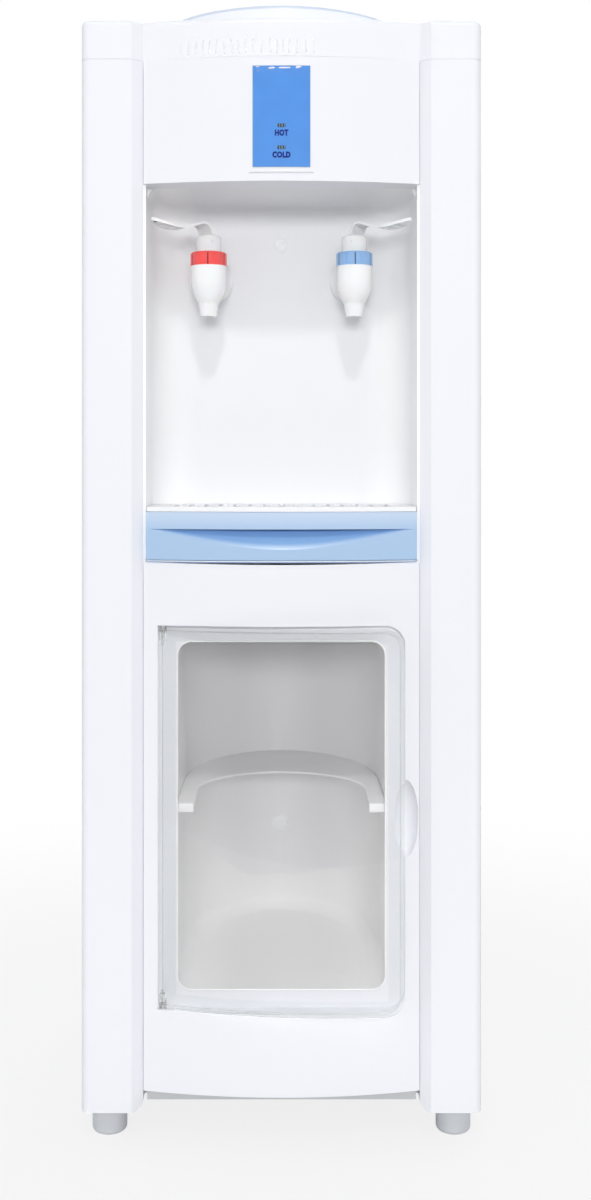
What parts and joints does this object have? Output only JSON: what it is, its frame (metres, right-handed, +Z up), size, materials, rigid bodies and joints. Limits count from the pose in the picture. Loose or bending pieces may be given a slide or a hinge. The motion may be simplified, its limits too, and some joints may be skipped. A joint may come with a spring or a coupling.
{
  "type": "water dispenser",
  "caption": "Free-standing water dispenser with a hot and a cold lever tap over a pull-out drip tray, a funnel for a bottle on top and a storage cabinet behind a clear hinged door.",
  "frame": {"origin": "centre of the bottom of the bounding box, on the floor, with the door ajar as it rests", "axes": "+X to the right seen from the front, +Y to the back, +Z up; the door and taps face -Y"},
  "size_m": [0.34, 0.3508, 0.98],
  "materials": {
    "cabinet_white": "white enamel, satin",
    "panel_white": "white, smooth and semi-gloss",
    "niche_white": "white, smooth and satin",
    "tray_blue": "pale blue, semi-gloss",
    "grille_white": "white, satin",
    "clear_door": "clear, polished",
    "collar_blue": "pale translucent blue, semi-gloss",
    "ring_red": "red, semi-gloss",
    "ring_blue": "blue, semi-gloss",
    "tap_white": "white, glossy",
    "foot_grey": "light grey, satin",
    "base_grey": "light grey, satin",
    "sheet_blue": "blue printed film, glossy",
    "lens_grey": "grey-green, glossy",
    "board_green": "green solder mask, satin",
    "steel": "bare stainless steel, brushed",
    "zinc_steel": "zinc-plated sheet, satin",
    "black_metal": "black, matt",
    "aluminium": "bare, satin",
    "ceramic": "white, matt",
    "foam": "white expanded foam, matt",
    "inner_plastic": "white, matt",
    "black_plastic": "black, satin",
    "red_plastic": "red, glossy",
    "green_plastic": "green, glossy",
    "silicone": "translucent white, satin",
    "rubber": "black, matt"
  },
  "bodies": {
    "root": {"left_side_panel": "cabinet_white", "right_side_panel": "cabinet_white", "top_cover": "panel_white", "upper_front_panel": "panel_white", "lower_front_panel": "panel_white", "niche_liner": "niche_white", "cabinet_liner": "niche_white", "cabinet_shelf": "niche_white", "base_pan": "base_grey", "feet": "foot_grey", "back_panel": "zinc_steel", "back_panel_screws": "zinc_steel", "indicator_plate": "panel_white", "indicator_sheet": "sheet_blue", "indicator_lenses": "lens_grey", "indicator_board": "board_green", "bottle_collar": "collar_blue", "tap_lever_pins": "steel", "tap_nuts": "tap_white", "tap_gaskets": "rubber", "cold_tank": "inner_plastic", "cold_tank_lid": "inner_plastic", "tank_insulation": "foam", "cold_block": "aluminium", "cooling_module": "ceramic", "heat_sink": "aluminium", "fan_frame": "black_plastic", "hot_tank": "steel", "heater_band": "black_metal", "thermostats": "black_metal", "tank_brackets": "zinc_steel", "cold_hose": "silicone", "hot_hose": "silicone", "feed_hose": "silicone", "power_board": "board_green", "switch_housings": "black_plastic", "mains_gland": "black_plastic", "drain_pipe": "steel", "hot_tap_body": "tap_white", "hot_tap_ring": "ring_red", "hot_tap_cap": "tap_white", "hot_tap_spring": "steel", "cold_tap_body": "tap_white", "cold_tap_ring": "ring_blue", "cold_tap_cap": "tap_white", "cold_tap_spring": "steel"},
    "door": {"door": "clear_door", "door_hinge_pins": "steel"},
    "drip_tray": {"drip_tray": "tray_blue"},
    "tray_grille": {"tray_grille": "grille_white"},
    "water_separator": {"water_separator": "collar_blue"},
    "hot_lever": {"hot_tap_lever": "tap_white"},
    "cold_lever": {"cold_tap_lever": "tap_white"},
    "hot_stem": {"hot_tap_stem": "inner_plastic"},
    "cold_stem": {"cold_tap_stem": "inner_plastic"},
    "fan_rotor": {"fan_rotor": "black_plastic"},
    "hot_switch": {"hot_switch": "red_plastic"},
    "cold_switch": {"cold_switch": "green_plastic"},
    "drain_cap": {"drain_cap": "inner_plastic"}
  },
  "joints": [
    {"name": "door_swing", "type": "hinge", "parent": "root", "child": "door", "pos_m": [-0.1005, -0.15053, 0.277], "axis": [0, 0, -1], "range_deg": [-5.5, 90]},
    {"name": "tray_slide", "type": "slide", "parent": "root", "child": "drip_tray", "axis": [0, -1, 0], "range_m": [0, 0.12]},
    {"name": "grille_lift", "type": "slide", "parent": "drip_tray", "child": "tray_grille", "axis": [0, 0, 1], "range_m": [0, 0.06]},
    {"name": "separator_lift", "type": "slide", "parent": "root", "child": "water_separator", "axis": [0, 0, 1], "range_m": [0, 0.12]},
    {"name": "hot_lever_press", "type": "hinge", "parent": "root", "child": "hot_lever", "pos_m": [-0.06854, -0.09057, 0.7749], "axis": [0.6691, -0.7431, 0], "range_deg": [0, 20], "stiffness_Nm_per_rad": 0.3, "springref_deg": -11.46},
    {"name": "hot_stem_lift", "type": "slide", "parent": "root", "child": "hot_stem", "axis": [0, 0, 1], "range_m": [0, 0.00158], "deforming": ["hot_tap_spring"]},
    {"name": "cold_lever_press", "type": "hinge", "parent": "root", "child": "cold_lever", "pos_m": [0.06854, -0.09057, 0.7749], "axis": [0.6691, 0.7431, 0], "range_deg": [0, 20], "stiffness_Nm_per_rad": 0.3, "springref_deg": -11.46},
    {"name": "cold_stem_lift", "type": "slide", "parent": "root", "child": "cold_stem", "axis": [0, 0, 1], "range_m": [0, 0.00158], "deforming": ["cold_tap_spring"]},
    {"name": "fan_spin", "type": "hinge", "parent": "root", "child": "fan_rotor", "pos_m": [0, 0.15124, 0.84], "axis": [0, 1, 0], "continuous": true},
    {"name": "hot_switch_rock", "type": "hinge", "parent": "root", "child": "hot_switch", "pos_m": [0.112, 0.15994, 0.7247], "axis": [-1, 0, 0], "range_deg": [0, 16]},
    {"name": "cold_switch_rock", "type": "hinge", "parent": "root", "child": "cold_switch", "pos_m": [0.112, 0.15994, 0.6907], "axis": [-1, 0, 0], "range_deg": [0, 16]},
    {"name": "drain_cap_pull", "type": "slide", "parent": "root", "child": "drain_cap", "axis": [0, 1, 0], "range_m": [0, 0.015]}
  ],
  "couplings": [
    {"joint": "hot_stem_lift", "follows": "hot_lever_press", "m_per_rad": 0.0045},
    {"joint": "cold_stem_lift", "follows": "cold_lever_press", "m_per_rad": 0.0045}
  ]
}
